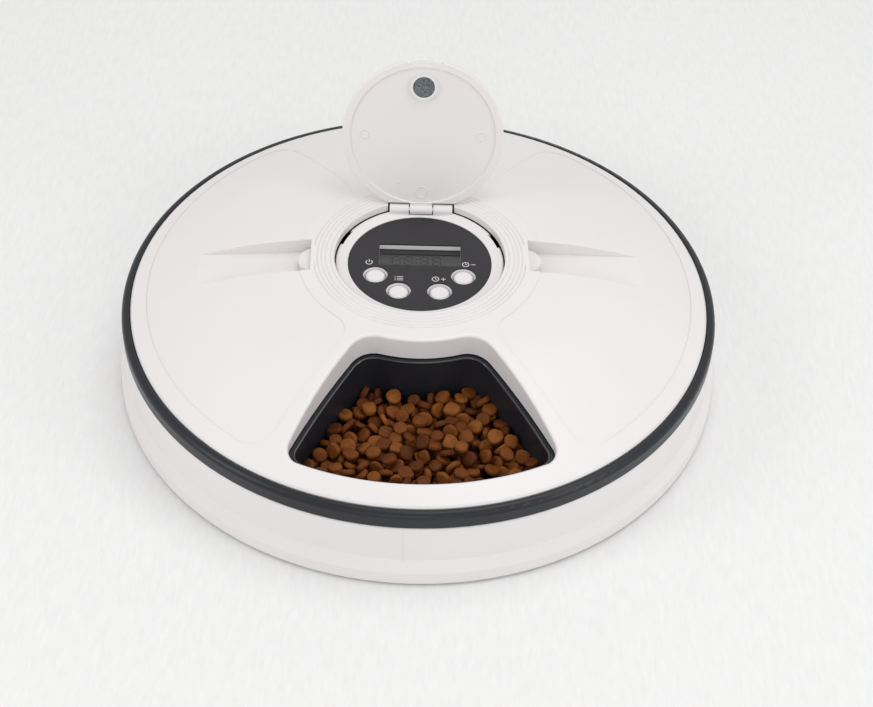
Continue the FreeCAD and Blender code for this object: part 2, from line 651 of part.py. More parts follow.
def build_control_housing():
    cup = turned("housing_cup", [
        (0, S.plate_low), (S.column_inner, S.plate_low), (S.column_inner, S.column_top),
        (S.collar_radius, S.column_top), (S.collar_radius, S.collar_top - 0.7),
        (S.collar_radius - 0.7, S.collar_top), (S.collar_radius - 1.8, S.collar_top),
        (S.panel_radius + 0.2, S.panel_top + 0.3), (S.panel_radius + 0.1, S.plate_top),
        (0, S.plate_top)])
    parts = [cup]
    for number, (x, y) in enumerate(COLUMN_BOSSES):
        lug = shared(f"lug_{number}", rod(f"lug_round_{number}", 4.9, S.column_top, LUG_HEIGHT, x, y),
                     rod(f"lug_limit_{number}", S.column_inner + 0.7, S.column_top, LUG_HEIGHT))
        parts.append(lug)
    for number, (x, y) in enumerate(((0, 30.0), (0, -31.5))):
        parts.append(rod(f"board_post_{number}", 2.4, S.board_top, S.plate_low - S.board_top + 0.5, x, y))
    # hinge knuckles on a foot at the back of the collar
    for side in (-1, 1):
        x_span = sorted((side * KNUCKLE_INNER, side * KNUCKLE_OUTER))
        foot = block(f"knuckle_foot_{side}", x_span,
                     (S.hinge_back - KNUCKLE + 0.2, S.hinge_back + 2.2), (66.0, S.hinge_height))
        barrel = shared(f"knuckle_{side}", crosswise_rod(f"knuckle_rod_{side}", KNUCKLE,
                                                         20.0, S.hinge_back, S.hinge_height),
                        block(f"knuckle_limit_{side}", x_span, (30, 50), (60, 80)))
        parts += [foot, barrel]
    # strikes that the lid's two latches hook under
    for side in (-1, 1):
        profile = [(43.6, 59.5), (52.3, 59.5), (52.3, 66.0), (49.3, 66.0), (49.3, 64.3),
                   (51.0, 64.3), (51.0, 61.2), (43.6, 61.2)]
        strike = across(f"strike_{side}", [(side * x, z) for x, z in profile], 5.5)
        parts.append(strike)
    tools = []
    for name, (x, y) in BUTTONS.items():
        tools.append(cone(f"hole_{name}", 5.45, 6.3, S.plate_low, 2.7, x, y))
        tools.append(rod(f"hole_low_{name}", 5.45, S.plate_low - 1, 1.2, x, y))
    tools.append(block("display_opening", (-21.6, 21.6), (-2.0, 15.0), (S.plate_low - 1, 68)))
    tools.append(rod("catch_seat", 5.1, S.plate_top - 0.9, 2.0, 0, MAGNET_FRONT))
    tools.append(crosswise_rod("pin_bore", S.pin_radius, 16.2, S.hinge_back, S.hinge_height))
    tools.append(crosswise_rod("barrel_room", 3.1, KNUCKLE_INNER - 0.1, S.hinge_back,
                               S.hinge_height))
    for number, (x, y) in enumerate(COLUMN_BOSSES):
        tools.append(rod(f"lug_hole_{number}", SCREW_RADIUS, S.column_top - 1, 6.0, x, y))
    # relieved edges at both sides of the collar's back
    for number, degrees in enumerate((24, 156)):
        wedge = cut(f"relief_{number}", rod(f"relief_outer_{number}", 46.0, 62.0, 9.0),
                    rod(f"relief_inner_{number}", S.collar_radius - 1.6, 61.0, 11.0))
        keeper = block(f"relief_limit_{number}", (38.0, 48.0), (-6.0, 6.0), (60.0, 80.0))
        keeper.Placement = Placement(Vector(), Rotation(Vector(0, 0, 1), degrees)).multiply(
            keeper.Placement)
        tools.append(shared(f"relief_cut_{number}", wedge, keeper))
    keep(cut("housing_solid", fused("housing_parts", *parts), *tools), "control_housing")
    screws = [screw(f"housing_screw_{number}", x, y, 58.2, 46.0, 59.0)
              for number, (x, y) in enumerate(COLUMN_BOSSES)]
    keep(group("housing_screws", *screws), "control_housing_screws")
    keep(crosswise_rod("hinge_rod", S.pin_radius, 16.2, S.hinge_back, S.hinge_height), "hinge_pin")
    keep(rod("catch_disc", 5.0, S.plate_top - 0.9, 0.9, 0, MAGNET_FRONT), "catch_plate")


def build_panel():
    """The dark label plate, the display behind its window, the circuit board and switches."""
    label = rod("label_disc", S.panel_radius, S.plate_top, S.label_thickness)
    tools = [rod(f"label_hole_{name}", 6.5, 66.0, 3.0, x, y) for name, (x, y) in BUTTONS.items()]
    tools.append(block("label_window", (-21.6, 21.6), (-2.0, 15.0), (66, 69)))
    keep(cut("label_solid", label, *tools), "panel_label")

    module = cut("display_case", block("display_block", (-24.0, 24.0), (-3.2, 18.5), (60.8, 64.2)),
                 block("display_seat", (-22.4, 22.4), (-2.6, 15.8), (62.6, 65.0)))
    keep(module, "display_frame")
    keep(block("display_glass", (-22.4, 22.4), (-2.6, 15.8), (62.6, 63.9)), "lcd_display")
    board = rod("board_disc", 32.6, S.board_top - S.board_thickness, S.board_thickness)
    keep(board, "circuit_board")
    legs = [rod(f"display_leg_{number}", 1.0, S.board_top, 60.8 - 59.2, x, y)
            for number, (x, y) in enumerate(((-22, -1.5), (22, -1.5), (-22, 17), (22, 17)))]
    keep(group("display_legs", *legs), "display_pins")
    switches = []
    for name, (x, y) in BUTTONS.items():
        switches.append(fused(f"switch_{name}",
                              block(f"switch_body_{name}", (x - 3, x + 3), (y - 3, y + 3),
                                    (59.2, 61.4)),
                              rod(f"switch_nub_{name}", 1.6, 61.4, 0.6, x, y)))
    keep(group("switches", *switches), "tact_switches")


def build_buttons():
    for name, (x, y) in BUTTONS.items():
        cap = turned_body(f"cap_{name}", [
            (0, 62.9), (6.2, 62.9), (6.2, 63.9), (5.0, 63.9), (5.0, 66.2), (4.4, 66.8), (0, 66.9)])
        keep(place(cap, x, y), f"button_{name}")


# ---------------------------------------------------------------- lid

LID_GROOVES = (47.1, 49.8, 51.9, 54.1, 56.2)
RECESS_END = 120.0
RECESS_HALF = 12.4
PANEL_INNER = 64.0
PANEL_OUTER = 145.0
PANEL_HALF_ANGLE = 57.6
PANEL_DEPTH = 0.45
WINDOW_INNER_ROUND = 13.0
WINDOW_OUTER_ROUND = 8.0
WINDOW_EDGE_ROUND = 1.5
TRAY_WALL = 2.2


def sector_edges(inner, outer, inner_half, outer_half, bulge, middle, level):
    """A sector of a ring between two circles, its sides bowed outwards by the bulge."""
    def point(radius, degrees, shift=0.0):
        x, y = around(radius, middle + degrees)
        aside = math.copysign(shift, degrees)
        return Vector(x - aside * math.sin(math.radians(middle)),
                      y + aside * math.cos(math.radians(middle)), level)

    half = (inner_half + outer_half) / 2
    corners = [point(inner, -inner_half), point(outer, -outer_half),
               point(outer, outer_half), point(inner, inner_half)]

    def side(start, end, degrees):
        if not bulge:
            return Part.LineSegment(start, end).toShape()
        return Part.Arc(start, point((inner + outer) / 2, degrees, bulge), end).toShape()

    return [side(corners[0], corners[1], -half),
            Part.Arc(corners[1], point(outer, 0), corners[2]).toShape(),
            side(corners[2], corners[3], half),
            Part.Arc(corners[3], point(inner, 0), corners[0]).toShape()]


def sector(name, edges, height, inner_round, outer_round):
    """A prism on a sector, with its four standing edges rounded."""
    prism = Part.Face(Part.Wire(edges)).extrude(Vector(0, 0, height))
    standing = [edge for edge in prism.Edges if abs(edge.BoundBox.ZLength - height) < 1e-6
                and len(edge.Vertexes) == 2]
    reach = sorted(math.hypot(edge.CenterOfMass.x, edge.CenterOfMass.y) for edge in standing)
    divide = (reach[0] + reach[-1]) / 2

    def corners(solid, near_axis):
        return [edge for edge in solid.Edges
                if abs(edge.BoundBox.ZLength - height) < 1e-6
                and (math.hypot(edge.CenterOfMass.x, edge.CenterOfMass.y) < divide) == near_axis]

    outer_edges = corners(prism, False)
    prism = prism.makeFillet(outer_round, outer_edges)
    prism = prism.makeFillet(inner_round, corners(prism, True))
    solid = doc.addObject("Part::Feature", name)
    solid.Shape = prism
    return solid


def rounded(name, base, radius, chosen):
    """A copy of a solid with the chosen edges rounded."""
    solid = doc.addObject("Part::Fillet", name)
    solid.Base = base
    solid.Edges = [(number, radius, radius) for number, edge in enumerate(base.Shape.Edges, 1)
                   if chosen(edge)]
    return solid


def with_lid(item):
    """Turn a piece about Z by the small angle at which the lid and the tray stand."""
    item.Placement = Placement(Vector(), Rotation(Vector(0, 0, 1), SIZES["lid_turn"]))
    return item


def build_lid():
    outer_middle = (SIZES["dome_radius"], SIZES["dome_height"])
    thick = SIZES["lid_thickness"]
    inner_middle = (SIZES["dome_radius"] - 0.6, SIZES["dome_height"] - thick)
    corners = [(S.lid_hole, S.lid_top - 0.5), (S.lid_hole + 0.5, S.lid_top)]
    for radius in LID_GROOVES:
        corners += [(radius - 0.55, S.lid_top), (radius, S.lid_top - 0.55),
                    (radius + 0.55, S.lid_top)]
    arc_index = len(corners)
    corners += [(S.lid_flat, S.lid_top), (S.lid_radius - 0.9, S.lid_edge + 0.6),
                (S.lid_radius, S.lid_edge - 0.4), (S.lid_radius, S.lid_low),
                (S.lid_radius - 2.4, S.lid_low)]
    inner_index = len(corners)
    corners += [(S.lid_radius - 2.4, S.lid_edge - 1.2), (S.lid_flat, S.lid_top - S.lid_thickness),
                (S.lid_hole + 2.2, S.lid_top - S.lid_thickness), (S.lid_hole + 2.2, 69.2),
                (S.lid_hole, 69.2)]
    shell = turned("lid_shell_turn", corners, arcs={arc_index: outer_middle,
                                                   inner_index: inner_middle})
    # everything under the outer surface, and the layer just below it
    under = turned("under_dome", [(40, S.lid_top), (S.lid_flat, S.lid_top),
                                  (S.lid_radius - 0.9, S.lid_edge + 0.6), (S.lid_radius - 0.9, 40),
                                  (40, 40)], arcs={1: outer_middle})
    above_tray = turned("above_tray", [(40, 90), (40, 63.9), (S.hub_outer - 5, 61.5),
                                       (S.cup_outer + 6.0, 48.2), (160, 48.2), (160, 90)])
    window = sector("window", window_outline(0.0, 30), 60, WINDOW_INNER_ROUND,
                    WINDOW_OUTER_ROUND)
    skirt_prism = sector("skirt_prism", window_outline(2.0, 30), 60, WINDOW_INNER_ROUND + 2,
                         WINDOW_OUTER_ROUND + 2)
    skirt = shared("skirt", skirt_prism, under, above_tray)
    parts = [shell, skirt]
    tools = [window]
    for side in (-1, 1):
        pan = across(f"recess_pan_{side}", [(side * x, z) for x, z in (
            (55.3, 80), (55.3, 62.1), (RECESS_END + 2, 59.7), (RECESS_END + 2, 80))],
            RECESS_HALF + 2.0)
        under_pan = turned(f"under_dome_{side}", [
            (40, S.lid_top), (S.lid_flat, S.lid_top), (S.lid_radius - 0.9, S.lid_edge + 0.6),
            (S.lid_radius - 0.9, 40), (40, 40)], arcs={1: outer_middle})
        parts.append(shared(f"recess_wall_{side}", pan, under_pan))
        for edge in (-1, 1):
            y_span = sorted((edge * 9.7, edge * 11.4))
            parts.append(block(f"latch_rib_{side}_{edge}", sorted((side * 48.0, side * 55.6)),
                               y_span, (66.0, S.lid_top - 2.0)))
        tools.append(across(f"recess_{side}", [(side * x, z) for x, z in (
            (57.4, 80), (57.4, 64.3), (RECESS_END, 61.9), (RECESS_END, 80))], RECESS_HALF))
        tools.append(block(f"latch_slot_{side}", sorted((side * 54.0, side * 58.5)),
                           (-9.4, 9.4), (65.7, 70.0)))
    # a shallow sunk panel on each side of the dome
    for side, middle in (("right", 0.0), ("left", 180.0)):
        edges = sector_edges(PANEL_INNER, PANEL_OUTER, PANEL_HALF_ANGLE, PANEL_HALF_ANGLE, 0,
                             middle, 40)
        region = sector(f"panel_region_{side}", edges, 50, 12.0, 12.0)
        skin = turned(f"dome_skin_{side}", [
            (40, S.lid_top + 5), (40, S.lid_top - PANEL_DEPTH), (S.lid_flat, S.lid_top - PANEL_DEPTH),
            (S.lid_radius - 0.9, S.lid_edge + 0.6 - PANEL_DEPTH), (S.lid_radius - 0.9, S.lid_top + 5)],
            arcs={2: (outer_middle[0], outer_middle[1] - PANEL_DEPTH)})
        tools.append(shared(f"panel_{side}", region, skin))
    notch = block("hinge_notch", (-18.0, 18.0), (38.0, 46.6), (60, 80))
    notch.Placement = Placement(Vector(), Rotation(Vector(0, 0, 1), -SIZES["lid_turn"])) * (
        notch.Placement)
    tools.append(notch)
    lid = cut("lid_sharp", fused("lid_parts", *parts), *tools)
    doc.recompute()
    keep(with_lid(rounded("lid_solid", lid, WINDOW_EDGE_ROUND, is_window_edge)), "lid_shell")
    clips = [block(f"clip_{side}", sorted((side * 53.0, side * 55.2)), (-11.4, 11.4), (64.6, 66.0))
             for side in (-1, 1)]
    keep(with_lid(group("clips", *clips)), "latch_clips")


def dome_height(point):
    """The height of the lid's outer dome at a point's distance from the axis."""
    start = Vector(SIZES["lid_flat"], SIZES["lid_top"], 0)
    middle = Vector(SIZES["dome_radius"], SIZES["dome_height"], 0)
    end = Vector(SIZES["lid_radius"] - 0.9, SIZES["lid_edge"] + 0.6, 0)
    circle = Part.Arc(start, middle, end).toShape().Curve
    reach = math.hypot(point.x, point.y) - circle.Center.x
    return circle.Center.y + math.sqrt(circle.Radius ** 2 - reach ** 2)


def is_window_edge(edge):
    """Whether an edge of the lid is the upper edge of the serving window."""
    middle = edge.CenterOfMass
    radius = math.hypot(middle.x, middle.y)
    if not SIZES["window_inner"] - 1 < radius < SIZES["window_outer"] + 1:
        return False
    if math.degrees(math.atan2(abs(middle.x), -middle.y)) > SIZES["window_outer_half"] + 1.8:
        return False
    return all(dome_height(vertex.Point) - vertex.Point.z < 0.01 for vertex in edge.Vertexes)


def build_latch(side, label):
    """A spring latch: a half-round tab outside, a plate under the lid and a hook at the column."""
    plate = block(f"latch_plate_{label}", sorted((side * 47.0, side * 58.0)), (-8.9, 8.9),
                  (66.4, 68.6))
    leg = block(f"latch_leg_{label}", sorted((side * 47.0, side * 48.8)), (-5.0, 5.0), (62.0, 67.0))
    toe = block(f"latch_toe_{label}", sorted((side * 48.0, side * 50.7)), (-5.0, 5.0), (62.0, 63.6))
    tab = raised(f"latch_tab_{label}", [(side * 55.0, -9.0), (side * 57.6, -9.0),
                                        (side * 57.6, 9.0), (side * 55.0, 9.0)], 66.2, 3.4,
                 arcs={1: (side * 64.0, 0.0)})
    keep(with_lid(fused(f"latch_{label}_solid", plate, leg, toe, tab)), f"latch_{label}")


# ---------------------------------------------------------------- cover

def build_cover():
    """The round cover, drawn closed and then swung open about its hinge."""
    low = 70.0
    disc = doc.addObject("PartDesign::Body", "cover_disc")
    radius = S.cover_radius
    section = body_sketch(disc, "cover_section", [
        (0, low + 0.8), (radius - 4.4, low + 0.8), (radius - 4.0, low), (radius - 0.5, low),
        (radius, low + 0.5), (radius, low + 2.2), (radius - 0.8, low + 2.9), (0, low + 3.2)],
        upright=True)
    turn = disc.newObject("PartDesign::Revolution", "cover_turn")
    turn.Profile = section
    turn.ReferenceAxis = (section, ["V_Axis"])
    turn.Angle = 360
    place(disc, 0, S.cover_middle)
    boss = rod("magnet_boss", 7.2, 69.2, 2.0, 0, MAGNET_FRONT)
    back_gap = block("hinge_gap", (-17.5, 17.5), (37.6, 50.0), (60, 80))
    front_notch = raised("finger_notch", [(-12.5, -50), (12.5, -50), (11.6, -44.0), (8.4, -41.2),
                                          (-8.4, -41.2), (-11.6, -44.0)], 60, 20)
    lip = raised("finger_lip", [(-8.6, -40.0), (-8.0, -41.4), (8.0, -41.4), (8.6, -40.0)],
                 71.6, 1.4, arcs={1: (0.0, -43.4)})
    arm = block("hinge_arm", (-6.1, 6.1), (36.0, S.hinge_back), (70.7, 73.0))
    barrel = crosswise_rod("hinge_barrel", 2.7, 6.1, S.hinge_back, S.hinge_height)
    bore = crosswise_rod("barrel_bore", S.pin_radius + 0.06, 7.0, S.hinge_back, S.hinge_height)
    seat = rod("magnet_seat", 5.8, 69.0, 2.0, 0, MAGNET_FRONT)
    trimmed = cut("cover_trimmed", fused("disc_and_boss", disc, boss), back_gap, front_notch)
    whole = cut("cover_solid", fused("cover_parts", trimmed, lip, arm, barrel), bore, seat)
    keep(swing_open(whole), "flip_cover")
    magnet = rod("magnet_disc", 5.8, 69.3, 1.7, 0, MAGNET_FRONT)
    keep(swing_open(group("magnet_whole", magnet)), "cover_magnet")


def swing_open(item):
    """Turn a piece of the cover about the hinge pin from closed to its open rest."""
    hinge = Vector(0, SIZES["hinge_back"], SIZES["hinge_height"])
    turn = Rotation(Vector(1, 0, 0), -(90 + SIZES["cover_lean"]))
    item.Placement = Placement(Vector(), turn, hinge)
    return item


def check_and_export():
    doc.recompute()
    os.makedirs("parts", exist_ok=True)
    for item in doc.Objects:
        if "Invalid" in item.State or "Error" in item.State:
            raise RuntimeError(f"{item.Name} failed: {item.State}")
    for item in NODES:
        if item.Shape.isNull() or not item.Shape.isValid() or not item.Shape.Solids:
            raise RuntimeError(f"{item.Label} has no sound shape")
    for item in NODES:
        item.Shape.exportStep(f"parts/{item.Label}.step")
        print(item.Label, len(item.Shape.Solids), round(item.Shape.Volume))


build_base_shell()
build_base_plate()
build_battery_door()
build_feet()
build_batteries()
build_drive()
build_tray()
build_food()
build_control_housing()
build_panel()
build_buttons()
build_lid()
build_latch(1, "right")
build_latch(-1, "left")
build_cover()
check_and_export()
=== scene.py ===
"""Looks of the automatic pet feeder: materials, kibble, display and panel marks, on the CAD frame."""

import json
import math
import random

import bmesh
import bpy
import numpy as np
from mathutils import Matrix, Vector


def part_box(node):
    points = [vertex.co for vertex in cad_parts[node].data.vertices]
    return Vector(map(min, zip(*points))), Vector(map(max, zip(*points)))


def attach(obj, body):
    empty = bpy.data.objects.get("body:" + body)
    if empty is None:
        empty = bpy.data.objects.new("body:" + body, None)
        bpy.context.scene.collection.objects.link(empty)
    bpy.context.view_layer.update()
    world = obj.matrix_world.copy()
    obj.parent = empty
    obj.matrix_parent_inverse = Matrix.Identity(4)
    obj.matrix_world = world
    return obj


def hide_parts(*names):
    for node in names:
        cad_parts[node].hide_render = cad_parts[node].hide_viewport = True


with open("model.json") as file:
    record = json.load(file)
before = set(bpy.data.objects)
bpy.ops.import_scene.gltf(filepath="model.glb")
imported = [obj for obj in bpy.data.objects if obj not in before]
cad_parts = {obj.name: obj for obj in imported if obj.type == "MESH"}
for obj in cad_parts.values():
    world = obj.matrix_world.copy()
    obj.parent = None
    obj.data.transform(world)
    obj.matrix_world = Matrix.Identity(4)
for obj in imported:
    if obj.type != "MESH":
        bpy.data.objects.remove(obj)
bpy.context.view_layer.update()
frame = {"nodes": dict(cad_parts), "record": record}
NODES = frame["nodes"]
MM = 0.001


# ---------------------------------------------------------------- camera, floor and light

CAMERA_DISTANCE = 0.9316
CAMERA_ELEVATION = math.radians(43.72)
CAMERA_ROLL = math.radians(1.4)
CAMERA_TARGET = Vector((0, 0, 1.5 * MM))
FOCAL_IN_WIDTHS = 1.919
SENSOR = 36.0
LENS_SHIFT = 0.0218
LIGHT_AIM = Vector((0, 0, 0.04))
SKY_STRENGTH = 0.69


def make_camera():
    back = Vector((0, -math.cos(CAMERA_ELEVATION), math.sin(CAMERA_ELEVATION)))
    side = Vector((1, 0, 0))
    over = back.cross(side)
    right = math.cos(CAMERA_ROLL) * side + math.sin(CAMERA_ROLL) * over
    upward = math.cos(CAMERA_ROLL) * over - math.sin(CAMERA_ROLL) * side
    data = bpy.data.cameras.new("camera")
    data.sensor_width = SENSOR
    data.lens = SENSOR * FOCAL_IN_WIDTHS
    data.shift_x = LENS_SHIFT
    camera = bpy.data.objects.new("camera", data)
    place = Matrix((right, upward, back)).transposed().to_4x4()
    place.translation = CAMERA_TARGET + CAMERA_DISTANCE * back
    camera.matrix_world = place
    bpy.context.scene.collection.objects.link(camera)
    bpy.context.scene.camera = camera


def area_light(name, place, size, power):
    """A soft rectangle of light aimed at the middle of the object."""
    data = bpy.data.lights.new(name, "AREA")
    data.shape = "RECTANGLE"
    data.size, data.size_y = size
    data.energy = power
    lamp = bpy.data.objects.new(name, data)
    lamp.location = place
    lamp.rotation_euler = (LIGHT_AIM - Vector(place)).to_track_quat("-Z", "Y").to_euler()
    bpy.context.scene.collection.objects.link(lamp)


def make_light():
    world = bpy.data.worlds.new("studio")
    world.use_nodes = True
    sky = world.node_tree.nodes["Background"]
    sky.inputs["Color"].default_value = (1.0, 0.995, 0.99, 1)
    sky.inputs["Strength"].default_value = SKY_STRENGTH
    bpy.context.scene.world = world
    bpy.context.scene.view_settings.view_transform = "Standard"
    area_light("top", (0.25, 0.1, 1.25), (0.9, 0.7), 3.8)
    area_light("left", (-1.0, -0.45, 0.75), (0.35, 0.8), 2.8)
    area_light("right", (1.0, -0.55, 0.65), (0.35, 0.8), 2.2)
    area_light("front", (0.0, -1.4, 0.6), (0.9, 0.5), 2.0)


# ---------------------------------------------------------------- material helpers

class Nodes:
    """A small hand on one material's node tree."""

    def __init__(self, name):
        self.material = bpy.data.materials.new(name)
        self.material.use_nodes = True
        self.tree = self.material.node_tree
        self.shader = self.tree.nodes["Principled BSDF"]

    def add(self, kind, **values):
        node = self.tree.nodes.new(kind)
        for key, value in values.items():
            if key in node.inputs:
                node.inputs[key].default_value = value
            else:
                setattr(node, key, value)
        return node

    def link(self, output, target):
        self.tree.links.new(output, target)

    def place(self):
        return self.add("ShaderNodeTexCoord").outputs["Object"]

    def noise(self, scale, detail=3.0, roughness=0.5, source=None):
        texture = self.add("ShaderNodeTexNoise", Scale=scale, Detail=detail, Roughness=roughness)
        self.link(source or self.place(), texture.inputs["Vector"])
        return texture.outputs["Fac"]

    def ramp(self, factor, stops):
        ramp = self.add("ShaderNodeValToRGB")
        points = ramp.color_ramp.elements
        while len(points) < len(stops):
            points.new(0.5)
        for point, (position, colour) in zip(points, stops):
            point.position = position
            point.color = (*colour, 1)
        self.link(factor, ramp.inputs["Fac"])
        return ramp.outputs["Color"]

    def spread(self, factor, low, high):
        """Map a 0..1 factor to a range."""
        spread = self.add("ShaderNodeMapRange")
        spread.inputs["To Min"].default_value = low
        spread.inputs["To Max"].default_value = high
        self.link(factor, spread.inputs["Value"])
        return spread.outputs["Result"]

    def math(self, operation, first, second=None):
        node = self.add("ShaderNodeMath", operation=operation)
        for socket, value in zip(node.inputs, (first, second)):
            if value is None:
                continue
            if isinstance(value, (int, float)):
                socket.default_value = value
            else:
                self.link(value, socket)
        return node.outputs[0]

    def bump(self, *heights):
        """Stack height maps, each (height, distance in metres, strength), onto the normal."""
        normal = None
        for height, distance, strength in heights:
            bump = self.add("ShaderNodeBump", Distance=distance, Strength=strength)
            self.link(height, bump.inputs["Height"])
            if normal is not None:
                self.link(normal, bump.inputs["Normal"])
            normal = bump.outputs["Normal"]
        self.link(normal, self.shader.inputs["Normal"])

    def set(self, **values):
        for key, value in values.items():
            self.shader.inputs[key.replace("_", " ")].default_value = value


def moulded(name, dark, light, rough=(0.3, 0.42)):
    """Moulded plastic: faint flow marks in the colour, a fine spark-eroded grain in the bump."""
    made = Nodes(name)
    flow = made.noise(14, 4, 0.55)
    fine = made.noise(2200, 2, 0.6)
    made.link(made.ramp(flow, [(0.3, dark), (0.7, light)]), made.shader.inputs["Base Color"])
    made.link(made.spread(made.noise(60, 3, 0.6), *rough), made.shader.inputs["Roughness"])
    ripple = made.noise(9, 2, 0.4)
    made.bump((fine, 0.02 * MM, 0.25), (ripple, 0.25 * MM, 0.12))
    made.set(IOR=1.5)
    return made.material


# ---------------------------------------------------------------- materials

WHITE_DARK = (0.775, 0.745, 0.745)
WHITE_LIGHT = (0.805, 0.78, 0.78)


def white_plastic():
    """Warm white moulded plastic with faint flow marks and a fine eroded grain."""
    made = Nodes("white_plastic")
    flow = made.noise(9, 4, 0.55)
    made.link(made.ramp(flow, [(0.3, WHITE_DARK), (0.7, WHITE_LIGHT)]),
              made.shader.inputs["Base Color"])
    made.link(made.spread(made.noise(70, 3, 0.6), 0.30, 0.42), made.shader.inputs["Roughness"])
    made.bump((made.noise(2600, 2, 0.6), 0.02 * MM, 0.25), (made.noise(7, 2, 0.4), 0.3 * MM, 0.10))
    made.set(IOR=1.49, Subsurface_Weight=0.06, Subsurface_Scale=0.004)
    made.shader.inputs["Subsurface Radius"].default_value = (1.0, 0.75, 0.6)
    return made.material


def tray_plastic(name, rough, coat):
    """Near-black moulded plastic with a trace of blue and fine handling marks."""
    made = Nodes(name)
    flow = made.noise(12, 4, 0.5)
    made.link(made.ramp(flow, [(0.3, (0.012, 0.0135, 0.0185)), (0.7, (0.017, 0.019, 0.025))]),
              made.shader.inputs["Base Color"])
    made.link(made.spread(made.noise(45, 5, 0.65), *rough), made.shader.inputs["Roughness"])
    made.bump((made.noise(900, 2, 0.5), 0.01 * MM, 0.2), (made.noise(18, 2, 0.4), 0.3 * MM, 0.10))
    made.set(IOR=1.5, Specular_IOR_Level=0.36, Coat_Weight=coat, Coat_Roughness=0.05)
    return made.material


def panel_print():
    """The panel's matte charcoal film, finely grained."""
    made = Nodes("panel_print")
    made.link(made.ramp(made.noise(1500, 2, 0.7),
                        [(0.25, (0.017, 0.016, 0.0195)), (0.75, (0.027, 0.0255, 0.030))]),
              made.shader.inputs["Base Color"])
    made.link(made.spread(made.noise(120, 3), 0.42, 0.55), made.shader.inputs["Roughness"])
    made.bump((made.noise(2400, 2, 0.6), 0.03 * MM, 0.5))
    made.set(Specular_IOR_Level=0.4)
    return made.material


def metal(name, dark, light, rough, stretch=(1, 1, 1)):
    """Worked metal with fine streaks along the stretched axis."""
    made = Nodes(name)
    mapping = made.add("ShaderNodeMapping")
    mapping.inputs["Scale"].default_value = stretch
    made.link(made.place(), mapping.inputs["Vector"])
    streak = made.noise(400, 3, 0.6, source=mapping.outputs[0])
    made.link(made.ramp(streak, [(0.3, dark), (0.7, light)]), made.shader.inputs["Base Color"])
    made.link(made.spread(streak, *rough), made.shader.inputs["Roughness"])
    made.bump((streak, 0.02 * MM, 0.3))
    made.set(Metallic=1.0)
    return made.material


def cell_wrap():
    """A battery jacket: dark body, coppery band near the top, bright steel ends."""
    made = Nodes("cell_wrap")
    split = made.add("ShaderNodeSeparateXYZ")
    made.link(made.place(), split.inputs[0])
    low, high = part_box("battery_1")
    along = made.add("ShaderNodeMapRange")
    along.inputs["From Min"].default_value = low.z
    along.inputs["From Max"].default_value = high.z
    made.link(split.outputs["Z"], along.inputs["Value"])
    bands = made.add("ShaderNodeValToRGB")
    bands.color_ramp.interpolation = "CONSTANT"
    points = bands.color_ramp.elements
    while len(points) < 4:
        points.new(0.5)
    for point, (position, colour) in zip(points, [
            (0.0, (0.55, 0.55, 0.56)), (0.03, (0.03, 0.035, 0.045)), (0.74, (0.62, 0.33, 0.13)),
            (0.955, (0.6, 0.6, 0.61))]):
        point.position = position
        point.color = (*colour, 1)
    made.link(along.outputs[0], bands.inputs["Fac"])
    mottled = made.add("ShaderNodeMixRGB", blend_type="MULTIPLY")
    mottled.inputs["Fac"].default_value = 0.25
    made.link(bands.outputs["Color"], mottled.inputs["Color1"])
    made.link(made.noise(150, 4), mottled.inputs["Color2"])
    made.link(mottled.outputs["Color"], made.shader.inputs["Base Color"])
    made.link(made.spread(made.noise(90, 3), 0.2, 0.32), made.shader.inputs["Roughness"])
    made.bump((made.noise(300, 3), 0.03 * MM, 0.2))
    made.set(Metallic=0.4)
    return made.material


def board_green():
    """Solder resist over copper tracks, from a stepped cell pattern."""
    made = Nodes("board_green")
    tracks = made.add("ShaderNodeTexBrick", Scale=90.0)
    tracks.inputs["Mortar Size"].default_value = 0.03
    made.link(made.place(), tracks.inputs["Vector"])
    made.link(made.ramp(tracks.outputs["Fac"], [(0.4, (0.015, 0.09, 0.035)),
                                                 (0.6, (0.04, 0.17, 0.07))]),
              made.shader.inputs["Base Color"])
    made.link(made.spread(made.noise(200, 3), 0.25, 0.4), made.shader.inputs["Roughness"])
    made.bump((tracks.outputs["Fac"], 0.04 * MM, 0.6))
    return made.material


def ferrite():
    """The magnet's rough grey face with light and dark crystals."""
    made = Nodes("ferrite")
    crystals = made.add("ShaderNodeTexVoronoi", Scale=1100.0)
    made.link(made.place(), crystals.inputs["Vector"])
    cloud = made.noise(500, 4, 0.7)
    mixed = made.math("MULTIPLY", crystals.outputs["Distance"], cloud)
    made.link(made.ramp(mixed, [(0.05, (0.035, 0.045, 0.05)), (0.35, (0.17, 0.20, 0.21))]),
              made.shader.inputs["Base Color"])
    made.link(made.spread(cloud, 0.45, 0.7), made.shader.inputs["Roughness"])
    made.bump((mixed, 0.25 * MM, 0.6))
    made.set(Metallic=0.3)
    return made.material


